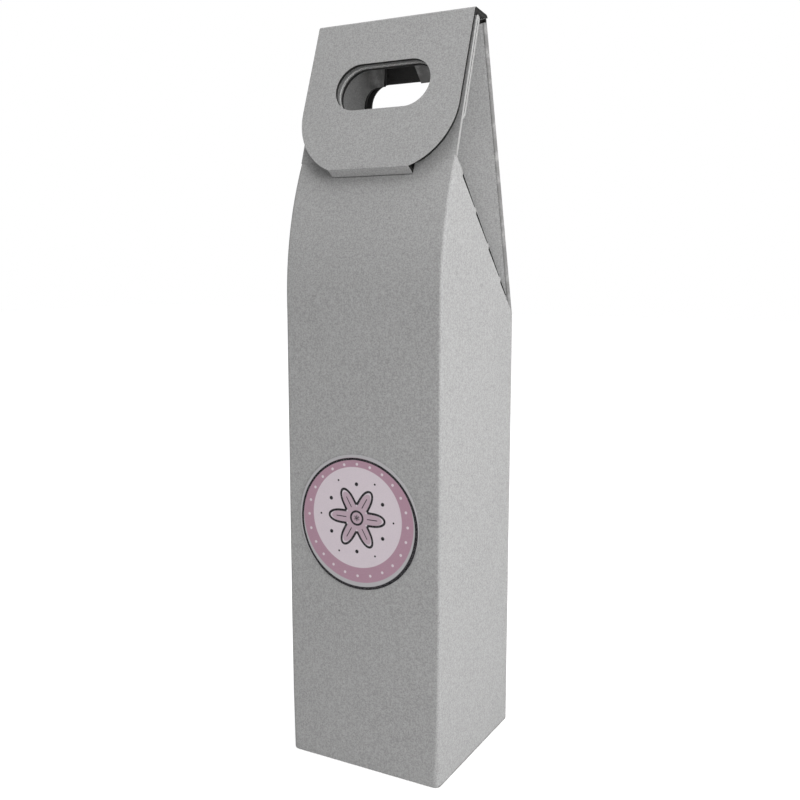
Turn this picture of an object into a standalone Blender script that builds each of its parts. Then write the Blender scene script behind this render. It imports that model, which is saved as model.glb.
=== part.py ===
# One-bottle gift carton folded from micro-flute board, with a hand hole and a tuck-in flap.
# Metres. X runs across the front, Y from front to back, Z up. The origin is on the ground,
# under the middle of the box. The front of the box faces -Y.

import math

import bmesh
import bpy
from mathutils import Matrix, Vector

# Board and clearances
BOARD = 0.0016              # thickness of the micro-flute board
SEAM = 0.0003               # clearance between two neighbouring pieces
CUT_OVERRUN = 0.004         # how far a cutter runs past the face that it cuts

# Box body
BOX_WIDTH = 0.085           # across the front, over the outer faces
BOX_DEPTH = 0.085           # front to back, over the outer faces
BACK_CREASE_HEIGHT = 0.224  # where the back starts to lean forward
FRONT_CREASE_RISE = 0.076   # the crease above the front wall lies this much higher
SHOULDER_RISE = 0.066       # height of the part of the front that bows back
SHOULDER_DEPTH = 0.0145     # how far the front has bowed back at its crease
CORNER_RADIUS = 0.0028      # outer radius of the folded upright corners
FOOT_RADIUS = 0.0014        # rounding of the lower edge of the walls

# Perforated diagonal crease on the side walls
SLIT_DEPTH = 0.0005         # how far the slits lie behind the bridges between them
SLIT_PITCH = 0.0185         # slit and bridge, measured along the height
SLIT_SHARE = 0.62           # share of the pitch that is slit
SLIT_RAMP = 0.0006          # height over which a slit runs out
PEAK_CUT = 0.0045           # height cut off where the side wall runs out to a point

# Handle: back, spine, front flap and the layer behind the flap
HANDLE_RISE = 0.0669        # from the front crease up to the fold at the back of the spine
HANDLE_PLACE_SHARE = 0.5506  # its distance behind the front, as a share of the depth
SPINE_LENGTH = 0.0139
SPINE_RISE = math.radians(5.8)   # how far the spine rises towards the front
TOP_FOLD_RADIUS = 0.0019
FRONT_TOP_SETBACK = 0.0048  # top edge of the layer behind the flap, from the fold above it
FRONT_TOP_HEADROOM = 0.0053
FRONT_TOP_CORNER = 0.0018
FLAP_STANDOFF = 0.0058      # from the front wall to the crease of the tab
FLAP_STRAIGHT_SHARE = 0.606  # share of the flap's length with straight side edges

# Tab and its slot
TAB_CREASE_FALL = 0.0046    # from the front crease down to the crease of the tab
TAB_CREASE_WIDTH = 0.0435
TAB_LENGTH = 0.0125
TAB_TAPER = 0.0025          # each side, from crease to nose
TAB_NOSE_RADIUS = 0.0030
TAB_DROP = math.radians(33.4)   # how far the tab points down from level
SLOT_HEIGHT = 0.0065
SLOT_SIDE_CLEARANCE = 0.0020
SLOT_LIP_CLEARANCE = 0.0004
SLOT_END_TAPER = 0.0015

# Hand hole, cut in every layer of the handle
HAND_HOLE_WIDTH = 0.0512
HAND_HOLE_HEIGHT = 0.0241
FLAP_HOLE_DROP = 0.0353     # centre of the hole below the fold at the top of the flap
BACK_HOLE_LAG = 0.0039      # how much further the hole in the back lies from its own fold
HOLE_ALLOWANCE = 0.0006     # the layers behind the flap have a slightly larger hole

# Gussets between the back top panel and the side walls
GUSSET_FOLD_ANGLE = math.radians(15.15)  # between the back corner and the fold in the gusset
GUSSET_TRIM = math.radians(1.6)          # cut off the lower gusset along that fold
GUSSET_SLACK = math.radians(1.7)         # how far the upper half stays short of its full fold
GUSSET_FOLD_GAP = 0.0032                 # the lower half is set back to leave the fold room
GUSSET_ROOT_WIDTH = 0.0010               # width left where the lower gusset starts
GUSSET_REACH_SHARE = 0.965               # reach of the lower gusset, as a share of its crease
GUSSET_BEAD_RADIUS = 0.0019
GUSSET_CORNER = 0.006
GUSSET_HEADROOM = 0.0065                 # from the top of the upper gusset to the spine
GUSSET_FALL = 0.0140                     # how far its top edge falls towards the middle

# Glued seam at the left back corner
GLUE_FLAP_WIDTH = 0.017
GLUE_FLAP_TAPER = 0.006
GLUE_FLAP_START = 0.008
GLUE_FLAP_RADIUS = 0.0022
SEAM_SETBACK = 0.0009       # the back wall's cut edge stops short of the left face

# Bottom flaps
BOTTOM_FOLD_RADIUS = 0.0020
TONGUE_FOLD_RADIUS = 0.0020
TONGUE_LENGTH = 0.0150
TONGUE_LEAN = math.radians(10.0)
TONGUE_CORNER = 0.007
TONGUE_CLEARANCE = 0.0006
DUST_FLAP_GAP = 0.0132      # between the free edges of the two dust flaps
DUST_FLAP_CORNER = 0.006
DUST_FRONT_MARGIN = 0.0065
DUST_BACK_MARGIN = 0.0045

# Round sticker on the front
LABEL_RADIUS = 0.0335
LABEL_THICKNESS = 0.0002
LABEL_HEIGHT = 0.127
LABEL_OFFSET = -0.002

# How finely the rounds are divided
FOOT_STEPS = 3
CORNER_STEPS = 5
FOLD_STEPS = 5
SHOULDER_STEPS = 10
ROUND_STEPS = 10
LABEL_STEPS = 72
ENTRY_STEPS = 8


def front_line(height):
    # Y of the front's outer face: upright, then bowed back along an arc
    rise = max(height - SHOULDER_START, 0)
    return FRONT + SHOULDER_RADIUS - math.sqrt(SHOULDER_RADIUS ** 2 - rise ** 2)


def lean_and_length(low, high):
    # lean from the upright and length of a panel between two points of Y and Z
    span = high - low
    return math.atan2(abs(span.x), span.y), span.length


def gusset_swing(own, other, between):
    # angle that half a gusset folds in, from its own share and its partner's share of the gusset,
    # when the two creases that carry the halves stand at the angle between
    cosine = (math.cos(other) - math.cos(own) * math.cos(between)) / (math.sin(own) * math.sin(between))
    return math.acos(cosine)


# Worked out from the sizes above
HALF_WIDTH = BOX_WIDTH / 2
FRONT = -BOX_DEPTH / 2
BACK = BOX_DEPTH / 2
FRONT_CREASE_HEIGHT = BACK_CREASE_HEIGHT + FRONT_CREASE_RISE
SHOULDER_START = FRONT_CREASE_HEIGHT - SHOULDER_RISE
TAB_CREASE_HEIGHT = FRONT_CREASE_HEIGHT - TAB_CREASE_FALL
SHOULDER_RADIUS = (SHOULDER_RISE ** 2 + SHOULDER_DEPTH ** 2) / (2 * SHOULDER_DEPTH)
DIAGONAL_RUN = BOX_DEPTH - SHOULDER_DEPTH
DIAGONAL_ANGLE = math.atan2(DIAGONAL_RUN, FRONT_CREASE_RISE)   # from the vertical, leaning to the front

# Creases and folds of the top as points of Y and Z, on the outer side of the board
BACK_CREASE = Vector((BACK, BACK_CREASE_HEIGHT))
FRONT_CREASE = Vector((FRONT + SHOULDER_DEPTH, FRONT_CREASE_HEIGHT))
SPINE_REAR = Vector((FRONT + HANDLE_PLACE_SHARE * BOX_DEPTH, FRONT_CREASE_HEIGHT + HANDLE_RISE))
SPINE_FRONT = SPINE_REAR + SPINE_LENGTH * Vector((-math.cos(SPINE_RISE), math.sin(SPINE_RISE)))
FRONT_TOP_EDGE = SPINE_FRONT + Vector((FRONT_TOP_SETBACK, -FRONT_TOP_HEADROOM))
TAB_CREASE = Vector((front_line(TAB_CREASE_HEIGHT) - FLAP_STANDOFF, TAB_CREASE_HEIGHT))
BACK_TOP_LEAN, BACK_TOP_LENGTH = lean_and_length(BACK_CREASE, SPINE_REAR)
FRONT_TOP_LEAN, FRONT_TOP_LENGTH = lean_and_length(FRONT_CREASE, FRONT_TOP_EDGE)
FLAP_LEAN, FLAP_LENGTH = lean_and_length(TAB_CREASE, SPINE_FRONT)
SPINE_TURN = math.pi / 2 - SPINE_RISE - BACK_TOP_LEAN      # fold between the back and the spine
FLAP_TURN = math.pi - FLAP_LEAN - (math.pi / 2 - SPINE_RISE)
SPINE_TANGENT = TOP_FOLD_RADIUS * math.tan(SPINE_TURN / 2)
FLAP_TANGENT = TOP_FOLD_RADIUS * math.tan(FLAP_TURN / 2)
TAB_TURN = math.pi / 2 + FLAP_LEAN - TAB_DROP
BACK_HOLE_DROP = FLAP_HOLE_DROP + BACK_HOLE_LAG

# Each gusset folds in two between the back top panel's edge and the diagonal crease
LOWER_GUSSET_ANGLE = DIAGONAL_ANGLE - GUSSET_FOLD_ANGLE
CREASE_ANGLE = DIAGONAL_ANGLE - BACK_TOP_LEAN
UPPER_GUSSET_SWING = gusset_swing(GUSSET_FOLD_ANGLE, LOWER_GUSSET_ANGLE, CREASE_ANGLE) - GUSSET_SLACK
LOWER_GUSSET_SWING = gusset_swing(LOWER_GUSSET_ANGLE, GUSSET_FOLD_ANGLE, CREASE_ANGLE)
GUSSET_NEAR = GUSSET_BEAD_RADIUS + SEAM
GUSSET_APEX = GUSSET_NEAR / math.sin(CREASE_ANGLE)          # along the diagonal crease
GUSSET_SIDE_LAND = HALF_WIDTH - HAND_HOLE_WIDTH / 2        # from the back corner to the hand hole


def arc(centre, radius, start, end, steps):
    # points of an arc, from the start angle to the end angle
    points = []
    for index in range(steps + 1):
        angle = start + (end - start) * index / steps
        points.append((centre[0] + radius * math.cos(angle), centre[1] + radius * math.sin(angle)))
    return points


def foot_inset(height):
    # how far the rounded lower edge draws the outer face in
    below = max(FOOT_RADIUS - height, 0)
    return FOOT_RADIUS - math.sqrt(FOOT_RADIUS ** 2 - below ** 2)


def foot_heights():
    turns = [math.pi / 2 * step / FOOT_STEPS for step in range(FOOT_STEPS + 1)]
    return [FOOT_RADIUS * (1 - math.cos(turn)) for turn in turns]


def shoulder_heights(top):
    rise = top - SHOULDER_START
    return [SHOULDER_START + rise * step / SHOULDER_STEPS for step in range(SHOULDER_STEPS + 1)]


def stadium(centre, width, height):
    # outline of a slot with round ends
    radius = height / 2
    reach = width / 2 - radius
    right = arc((centre[0] + reach, centre[1]), radius, -math.pi / 2, math.pi / 2, ROUND_STEPS)
    left = arc((centre[0] - reach, centre[1]), radius, math.pi / 2, 3 * math.pi / 2, ROUND_STEPS)
    return right + left


def rounded(points, radii):
    # outline with a round at each corner that has a radius
    outline = []
    count = len(points)
    for index in range(count):
        here = Vector(points[index])
        to_last = (Vector(points[index - 1]) - here).normalized()
        to_next = (Vector(points[(index + 1) % count]) - here).normalized()
        radius = radii[index]
        if radius == 0:
            outline.append(tuple(here))
            continue
        half = to_last.angle(to_next) / 2
        centre = here + (to_last + to_next).normalized() * radius / math.sin(half)
        reach = radius / math.tan(half)
        first = here + to_last * reach - centre
        last = here + to_next * reach - centre
        start = math.atan2(first.y, first.x)
        sweep = (math.atan2(last.y, last.x) - start + math.pi) % (2 * math.pi) - math.pi
        outline += arc(tuple(centre), radius, start, start + sweep, ROUND_STEPS // 2)
    return outline


def board_material(name, colour, roughness):
    material = bpy.data.materials.new(name)
    material.use_nodes = True
    shader = material.node_tree.nodes["Principled BSDF"]
    shader.inputs["Base Color"].default_value = (*colour, 1)
    shader.inputs["Roughness"].default_value = roughness
    shader.inputs["Metallic"].default_value = 0
    material.diffuse_color = (*colour, 1)
    return material


def finish(name, mesh, colour=(0.36, 0.36, 0.355), roughness=0.85):
    # close a bmesh into an object with its own material
    bmesh.ops.remove_doubles(mesh, verts=mesh.verts, dist=SEAM / 100)
    bmesh.ops.recalc_face_normals(mesh, faces=mesh.faces)
    data = bpy.data.meshes.new(name)
    mesh.to_mesh(data)
    mesh.free()
    data.materials.append(board_material(name, colour, roughness))
    item = bpy.data.objects.new(name, data)
    bpy.context.scene.collection.objects.link(item)
    return item


def place(item, parent=None, location=(0, 0, 0), turn=(0, 0, 0)):
    item.parent = parent
    item.location = location
    item.rotation_euler = turn
    return item


def sheet(outline, holes, to_point, thickness):
    # flat board: an outline with holes, filled and given its thickness
    mesh = bmesh.new()
    edges = []
    for loop in [outline] + holes:
        verts = [mesh.verts.new(to_point(point)) for point in loop]
        for index, vert in enumerate(verts):
            edges.append(mesh.edges.new((vert, verts[(index + 1) % len(verts)])))
    filled = bmesh.ops.triangle_fill(mesh, use_beauty=True, use_dissolve=False, edges=edges)
    faces = [face for face in filled["geom"] if isinstance(face, bmesh.types.BMFace)]
    grown = bmesh.ops.extrude_face_region(mesh, geom=faces, use_keep_orig=True)
    moved = [vert for vert in grown["geom"] if isinstance(vert, bmesh.types.BMVert)]
    bmesh.ops.translate(mesh, verts=moved, vec=thickness)
    return mesh


def upright(point):
    # panel drawn across X and up Z
    return (point[0], 0, point[1])


def strip(section, to_point, run):
    # one section drawn out along a straight run
    mesh = bmesh.new()
    face = mesh.faces.new([mesh.verts.new(to_point(point)) for point in section])
    grown = bmesh.ops.extrude_face_region(mesh, geom=[face], use_keep_orig=True)
    moved = [vert for vert in grown["geom"] if isinstance(vert, bmesh.types.BMVert)]
    bmesh.ops.translate(mesh, verts=moved, vec=run)
    return mesh


def loft(sections):
    # closed skin through a stack of sections with equal numbers of points
    mesh = bmesh.new()
    rings = [[mesh.verts.new(point) for point in section] for section in sections]
    loops = []
    for ring in rings:
        following = ring[1:] + ring[:1]
        loops.append([mesh.edges.new(pair) for pair in zip(ring, following)])
    for lower, upper in zip(loops, loops[1:]):
        bmesh.ops.bridge_loops(mesh, edges=lower + upper)
    mesh.faces.new(rings[0])
    mesh.faces.new(rings[-1])
    return mesh


def folded(steps, heading):
    # outer line of a folded strip with its normals: each step is a length, or a turn and a radius
    spot = Vector((0, 0))
    line = [(spot.copy(), heading)]
    for step in steps:
        if isinstance(step, tuple):
            turn, radius = step
            for _ in range(FOLD_STEPS):
                half = turn / FOLD_STEPS / 2
                chord = 2 * radius * math.sin(abs(half))
                spot = spot + chord * Vector((-math.sin(heading + half), math.cos(heading + half)))
                heading += turn / FOLD_STEPS
                line.append((spot.copy(), heading))
        elif step > 0:
            spot = spot + step * Vector((-math.sin(heading), math.cos(heading)))
            line.append((spot.copy(), heading))
    return line


def folded_section(line):
    # the board lies on the inner side of its outer line
    outer = [tuple(spot) for spot, heading in line]
    inner = [tuple(spot - BOARD * Vector((math.cos(heading), math.sin(heading)))) for spot, heading in line]
    return outer + inner[::-1]


def across(point, half):
    # section drawn in Y and Z, set at one end of its run along X
    return (-half, point[0], point[1])


def cut(item, cutter):
    cutter.hide_render = True
    cutter.display_type = "WIRE"
    modifier = item.modifiers.new("Cut", "BOOLEAN")
    modifier.operation = "DIFFERENCE"
    modifier.solver = "EXACT"
    modifier.object = cutter


def tab_entry():
    # height at which the underside of the tab meets the front's outer face
    height = TAB_CREASE_HEIGHT
    for _ in range(ENTRY_STEPS):
        height = TAB_CREASE_HEIGHT - (front_line(height) - TAB_CREASE.x) * math.tan(TAB_DROP)
    return height


def build_front_wall():
    # front wall with its bowed shoulder, between the two upright corners
    half = HALF_WIDTH - CORNER_RADIUS - SEAM
    top = FRONT_CREASE_HEIGHT
    heights = foot_heights() + shoulder_heights(top)
    outer = [(front_line(height) + foot_inset(height), height) for height in heights]
    inner = [(front_line(height) + BOARD, height) for height in heights]
    mesh = strip(outer + inner[::-1], lambda point: across(point, half), (2 * half, 0, 0))
    wall = finish("front_wall", mesh)
    # slot for the tab, cut square to the board
    low = TAB_CREASE_WIDTH / 2 + SLOT_SIDE_CLEARANCE
    high = low - SLOT_END_TAPER
    base = tab_entry() - SLOT_LIP_CLEARANCE
    lean = math.asin((base - SHOULDER_START) / SHOULDER_RADIUS)
    outline = [(-low, 0), (low, 0), (high, SLOT_HEIGHT), (-high, SLOT_HEIGHT)]
    cutter = finish("tab_slot_cutter", sheet(outline, [], upright, (0, BOARD + 2 * CUT_OVERRUN, 0)))
    back_off = CUT_OVERRUN * Vector((math.cos(lean), -math.sin(lean)))
    place(cutter, location=(0, *(Vector((front_line(base), base)) - back_off)), turn=(-lean, 0, 0))
    cut(wall, cutter)
    return wall


def diagonal_line(height):
    # Y of the diagonal crease on the outer face of a side wall
    return BACK - (height - BACK_CREASE_HEIGHT) * math.tan(DIAGONAL_ANGLE)


def slit_recess(height):
    # slits and bridges take turns along the diagonal crease
    along = (height - BACK_CREASE_HEIGHT) % SLIT_PITCH
    slit = SLIT_PITCH * SLIT_SHARE
    ramp = min(along, slit - along) / SLIT_RAMP
    return SLIT_DEPTH * min(max(ramp, 0), 1)


def slit_heights(start, end):
    # the heights where slits start and stop
    heights = []
    slit = SLIT_PITCH * SLIT_SHARE
    for index in range(int((end - BACK_CREASE_HEIGHT) / SLIT_PITCH) + 1):
        foot = BACK_CREASE_HEIGHT + index * SLIT_PITCH
        heights += [foot, foot + SLIT_RAMP, foot + slit - SLIT_RAMP, foot + slit]
    return [height for height in heights if start < height < end]


def build_side_wall(name, side, rear):
    # side wall with the front corner's round, cut off along the diagonal crease
    bend = BACK_CREASE_HEIGHT + (BACK - rear) / math.tan(DIAGONAL_ANGLE)
    peak = FRONT_CREASE_HEIGHT - PEAK_CUT
    heights = foot_heights() + [bend] + slit_heights(bend, peak) + shoulder_heights(peak)
    sections = []
    for height in sorted(set(heights)):
        inset = foot_inset(height)
        front = front_line(height)
        centre = (HALF_WIDTH - CORNER_RADIUS, front + CORNER_RADIUS)
        end = rear
        if height > bend:
            end = diagonal_line(height) - slit_recess(height) - SEAM
        outer = arc(centre, CORNER_RADIUS - inset, -math.pi / 2, 0, CORNER_STEPS)
        outer.append((HALF_WIDTH - inset, end))
        inner = arc(centre, CORNER_RADIUS - BOARD, -math.pi / 2, 0, CORNER_STEPS)
        inner.append((HALF_WIDTH - BOARD, end))
        sections.append([(side * x, y, height) for x, y in outer + inner[::-1]])
    return finish(name, loft(sections))


def build_back_wall():
    # back wall with the right back corner's round
    centre = (HALF_WIDTH - CORNER_RADIUS, BACK - CORNER_RADIUS)
    outer = [(-HALF_WIDTH + SEAM_SETBACK, BACK)] + arc(centre, CORNER_RADIUS, math.pi / 2, 0, CORNER_STEPS)
    inner = [(-HALF_WIDTH + SEAM_SETBACK, BACK - BOARD)]
    inner += arc(centre, CORNER_RADIUS - BOARD, math.pi / 2, 0, CORNER_STEPS)
    foot = BOTTOM_FOLD_RADIUS + SEAM
    rise = BACK_CREASE_HEIGHT - foot
    mesh = strip(outer + inner[::-1], lambda point: (point[0], point[1], foot), (0, 0, rise))
    return finish("back_wall", mesh)


def build_glue_flap():
    # flap inside the back wall, with the left back corner's round
    face = BACK - BOARD - SEAM
    centre = (-HALF_WIDTH + GLUE_FLAP_RADIUS, face - GLUE_FLAP_RADIUS)
    outer = arc(centre, GLUE_FLAP_RADIUS, math.pi, math.pi / 2, CORNER_STEPS)
    inner = arc(centre, GLUE_FLAP_RADIUS - BOARD, math.pi, math.pi / 2, CORNER_STEPS)
    reach = -HALF_WIDTH + GLUE_FLAP_WIDTH
    outer.append((reach, face))
    inner.append((reach, face - BOARD))
    base = GLUE_FLAP_START
    rise = BACK_CREASE_HEIGHT - base
    mesh = strip(outer + inner[::-1], lambda point: (point[0], point[1], base), (0, 0, rise))
    flap = finish("glue_flap", mesh)
    # both ends taper towards the free edge
    root = -HALF_WIDTH + GLUE_FLAP_RADIUS
    past = reach + CUT_OVERRUN
    drop = GLUE_FLAP_TAPER * (past - root) / (reach - root)
    for level, way in ((base, 1), (base + rise, -1)):
        over = level - way * CUT_OVERRUN
        outline = [(root, over), (past, over), (past, level + way * drop), (root, level)]
        cutter = finish("glue_flap_cutter", sheet(outline, [], upright, (0, 2 * CUT_OVERRUN, 0)))
        place(cutter, location=(0, face - CUT_OVERRUN, 0))
        cut(flap, cutter)
    return flap


def hand_hole(centre, allowance):
    return stadium(centre, HAND_HOLE_WIDTH + 2 * allowance, HAND_HOLE_HEIGHT + 2 * allowance)


def build_front_top():
    # layer of the handle behind the flap, hinged along the crease above the front wall
    half = HALF_WIDTH - SEAM
    start = SEAM + BOARD * math.sin(FRONT_TOP_LEAN)
    outline = rounded([(-half, start), (half, start), (half, FRONT_TOP_LENGTH), (-half, FRONT_TOP_LENGTH)],
                      [0, 0, FRONT_TOP_CORNER, FRONT_TOP_CORNER])
    # its hole lies square behind the hole in the flap
    centre = SPINE_FRONT - FLAP_HOLE_DROP * Vector((math.sin(FLAP_LEAN), math.cos(FLAP_LEAN)))
    along = Vector((math.sin(FRONT_TOP_LEAN), math.cos(FRONT_TOP_LEAN)))
    hole = hand_hole((0, (centre - FRONT_CREASE).dot(along)), HOLE_ALLOWANCE)
    panel = finish("front_top_panel", sheet(outline, [hole], upright, (0, BOARD, 0)))
    return place(panel, location=(0, *FRONT_CREASE), turn=(-FRONT_TOP_LEAN, 0, 0))


def build_back_top():
    # rear layer of the handle, leaning forward from the crease at the top of the back wall
    top = BACK_TOP_LENGTH - SPINE_TANGENT - SEAM
    start = SEAM + BOARD * math.sin(BACK_TOP_LEAN)
    half = HALF_WIDTH - GUSSET_BEAD_RADIUS
    hole = hand_hole((0, BACK_TOP_LENGTH - BACK_HOLE_DROP), HOLE_ALLOWANCE)
    outline = [(-half, start), (half, start), (half, top), (-half, top)]
    panel = finish("back_top_panel", sheet(outline, [hole], upright, (0, -BOARD, 0)))
    # rounded side edges, where the gussets fold in
    for side in (1, -1):
        centre = (side * half, -GUSSET_BEAD_RADIUS)
        end = 0 if side > 0 else math.pi
        outer = arc(centre, GUSSET_BEAD_RADIUS, math.pi / 2, end, CORNER_STEPS)
        inner = arc(centre, GUSSET_BEAD_RADIUS - BOARD, math.pi / 2, end, CORNER_STEPS)
        root = side * (half - BOARD)
        section = [(root, 0)] + outer + inner[::-1] + [(root, -BOARD)]
        mesh = strip(section, lambda point: (point[0], point[1], start), (0, 0, top - start))
        bead = finish("back_top_bead", mesh)
        bead.parent = panel
        bead.hide_render = True
        bead.display_type = "WIRE"
        modifier = panel.modifiers.new("Edge", "BOOLEAN")
        modifier.operation = "UNION"
        modifier.solver = "EXACT"
        modifier.object = bead
    return place(panel, location=(0, *BACK_CREASE), turn=(BACK_TOP_LEAN, 0, 0))


def build_spine(parent):
    # narrow strip over the top, with the rounds of both its folds
    level = SPINE_LENGTH - SPINE_TANGENT - FLAP_TANGENT
    line = folded([(SPINE_TURN, TOP_FOLD_RADIUS), level, (FLAP_TURN, TOP_FOLD_RADIUS)], 0)
    half = HALF_WIDTH
    mesh = strip(folded_section(line), lambda point: across(point, half), (2 * half, 0, 0))
    spine = place(finish("spine_strip", mesh), parent, (0, 0, BACK_TOP_LENGTH - SPINE_TANGENT))
    return spine, line[-1]


def build_closure_flap(parent, fold):
    # front flap that closes the top: straight sides, then wide rounds down to the tab
    half = HALF_WIDTH
    reach = FLAP_LENGTH - FLAP_TANGENT
    straight = FLAP_STRAIGHT_SHARE * FLAP_LENGTH - FLAP_TANGENT
    tab_half = TAB_CREASE_WIDTH / 2
    fall = reach - straight
    inset = half - tab_half
    radius = (fall ** 2 + inset ** 2) / (2 * inset)
    sweep = math.asin(fall / radius)
    right = arc((half - radius, straight), radius, 0, sweep, ROUND_STEPS)
    left = [(-x, z) for x, z in right[::-1]]
    outline = [(-half, SEAM), (half, SEAM)] + right + left
    hole = hand_hole((0, FLAP_HOLE_DROP - FLAP_TANGENT), 0)
    flap = finish("closure_flap", sheet(outline, [hole], upright, (0, -BOARD, 0)))
    spot, heading = fold
    place(flap, parent, (0, spot.x, spot.y), (heading, 0, 0))
    return flap


def build_tuck_tab(parent):
    # tab at the end of the flap, which goes through the slot in the front
    root = TAB_CREASE_WIDTH / 2
    tip = root - TAB_TAPER
    start = SEAM + BOARD * math.tan(TAB_TURN / 2)
    outline = rounded([(-root, start), (root, start), (tip, TAB_LENGTH), (-tip, TAB_LENGTH)],
                      [0, 0, TAB_NOSE_RADIUS, TAB_NOSE_RADIUS])
    tab = finish("tuck_tab", sheet(outline, [], upright, (0, -BOARD, 0)))
    return place(tab, parent, (0, 0, FLAP_LENGTH - FLAP_TANGENT), (TAB_TURN, 0, 0))


def build_upper_gusset(name, side, parent):
    # rear half of a gusset: folds in from the side edge of the back top panel
    # drawn as it lies when the box is open, with distances measured forward from the back corner
    top = BACK_TOP_LENGTH - GUSSET_HEADROOM
    slope = math.tan(GUSSET_FOLD_ANGLE)
    root = GUSSET_APEX * math.cos(DIAGONAL_ANGLE - BACK_TOP_LEAN)
    hole = BACK_TOP_LENGTH - BACK_HOLE_DROP
    radius = HAND_HOLE_HEIGHT / 2 + HOLE_ALLOWANCE
    land = GUSSET_SIDE_LAND + radius
    notch = arc((land, hole), radius, -math.pi / 2, -3 * math.pi / 2, ROUND_STEPS)
    crest = top - GUSSET_FALL
    widths = [GUSSET_NEAR + (height - root) * slope for height in (hole - radius, hole + radius, crest)]
    start = (GUSSET_NEAR, root + GUSSET_ROOT_WIDTH / slope)
    corners = [(widths[1], hole + radius), (widths[2], crest), (GUSSET_NEAR, top)]
    outline = [start, (GUSSET_NEAR + GUSSET_ROOT_WIDTH, start[1]), (widths[0], hole - radius)] + notch
    outline += rounded(corners, [0, GUSSET_CORNER, 0])
    mesh = sheet(outline, [], lambda point: (0, GUSSET_NEAR - point[0], point[1]), (side * BOARD, 0, 0))
    spot = (side * (HALF_WIDTH - BOARD), -GUSSET_NEAR, 0)
    return place(finish(name, mesh), parent, spot, (0, 0, -side * UPPER_GUSSET_SWING))


def build_lower_gusset(name, side):
    # front half of a gusset: folds in along the diagonal crease of the side wall
    # drawn flat with the crease along Z, then laid along the crease and folded in
    length = math.hypot(DIAGONAL_RUN, FRONT_CREASE_RISE)
    wedge = DIAGONAL_ANGLE - GUSSET_FOLD_ANGLE - GUSSET_TRIM
    along = Vector((math.sin(wedge), math.cos(wedge)))
    apex = Vector((0, GUSSET_APEX)) + GUSSET_FOLD_GAP * Vector((-along.y, along.x))
    root = SEAM + GUSSET_ROOT_WIDTH
    start = apex + along * (root - apex.x) / along.x
    tip = apex + along * (GUSSET_REACH_SHARE * length)
    outline = [(SEAM, start.y), (SEAM, length - 2 * PEAK_CUT), tuple(tip), tuple(start)]
    outline = rounded(outline, [0, 0, GUSSET_CORNER / 2, 0])
    mesh = sheet(outline, [], lambda point: (0, point[0], point[1]), (side * BOARD, 0, 0))
    gusset = finish(name, mesh)
    lay = Matrix.Rotation(DIAGONAL_ANGLE, 4, "X")
    fold = Matrix.Rotation(side * LOWER_GUSSET_SWING, 4, "Z")
    gusset.matrix_world = Matrix.Translation((side * (HALF_WIDTH - BOARD), *BACK_CREASE)) @ lay @ fold
    return gusset


def build_bottom():
    # main bottom flap with the rounds of its two folds, and its tongue inside the front wall
    half = HALF_WIDTH - CORNER_RADIUS - SEAM
    run = BOX_DEPTH - BOARD - TONGUE_CLEARANCE - BOTTOM_FOLD_RADIUS
    turn = math.pi / 2 + TONGUE_LEAN
    tangent = TONGUE_FOLD_RADIUS * math.tan(turn / 2)
    steps = [(-math.pi / 2, BOTTOM_FOLD_RADIUS), run - tangent, (-turn, TONGUE_FOLD_RADIUS)]
    line = folded(steps, math.pi)
    section = folded_section([(spot, heading + math.pi) for spot, heading in line])
    mesh = strip(section, lambda point: across(point, half), (2 * half, 0, 0))
    flap = place(finish("bottom_flap", mesh), location=(0, BACK, BOTTOM_FOLD_RADIUS))
    spot, heading = line[-1]
    base = half - SEAM
    length = TONGUE_LENGTH
    outline = rounded([(-base, SEAM), (base, SEAM), (base, length), (-base, length)],
                      [0, 0, TONGUE_CORNER, TONGUE_CORNER])
    tongue = finish("bottom_tongue", sheet(outline, [], upright, (0, BOARD, 0)))
    place(tongue, flap, (0, spot.x, spot.y), (heading, 0, 0))
    return flap, tongue


def build_dust_flap(name, side):
    # side bottom flap that lies on the main one, relieved at 45 degrees beside the back fold
    rise = BOARD + SEAM
    hinge = HALF_WIDTH - BOARD - SEAM
    front = FRONT + BOARD + DUST_FRONT_MARGIN
    back = BACK - BOARD - SEAM - BOARD - DUST_BACK_MARGIN
    length = hinge - DUST_FLAP_GAP / 2
    outline = rounded([(front, 0), (back, 0), (back - length, length), (front, length)],
                      [0, 0, DUST_FLAP_CORNER, DUST_FLAP_CORNER])
    to_point = lambda point: (-side * point[1], point[0], 0)
    flap = finish(name, sheet(outline, [], to_point, (0, 0, BOARD)))
    return place(flap, location=(side * hinge, 0, rise))


def build_label():
    # round sticker on the front wall
    mesh = bmesh.new()
    bmesh.ops.create_circle(mesh, cap_ends=True, radius=LABEL_RADIUS, segments=LABEL_STEPS)
    bmesh.ops.rotate(mesh, verts=mesh.verts, matrix=Matrix.Rotation(math.pi / 2, 3, "X"))
    grown = bmesh.ops.extrude_face_region(mesh, geom=mesh.faces[:], use_keep_orig=True)
    moved = [vert for vert in grown["geom"] if isinstance(vert, bmesh.types.BMVert)]
    bmesh.ops.translate(mesh, verts=moved, vec=(0, -LABEL_THICKNESS, 0))
    label = finish("round_label", mesh, (0.45, 0.38, 0.42), 0.5)
    return place(label, location=(LABEL_OFFSET, FRONT - SEAM, LABEL_HEIGHT))


def clear_scene():
    for item in list(bpy.data.objects):
        bpy.data.objects.remove(item, do_unlink=True)


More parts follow.
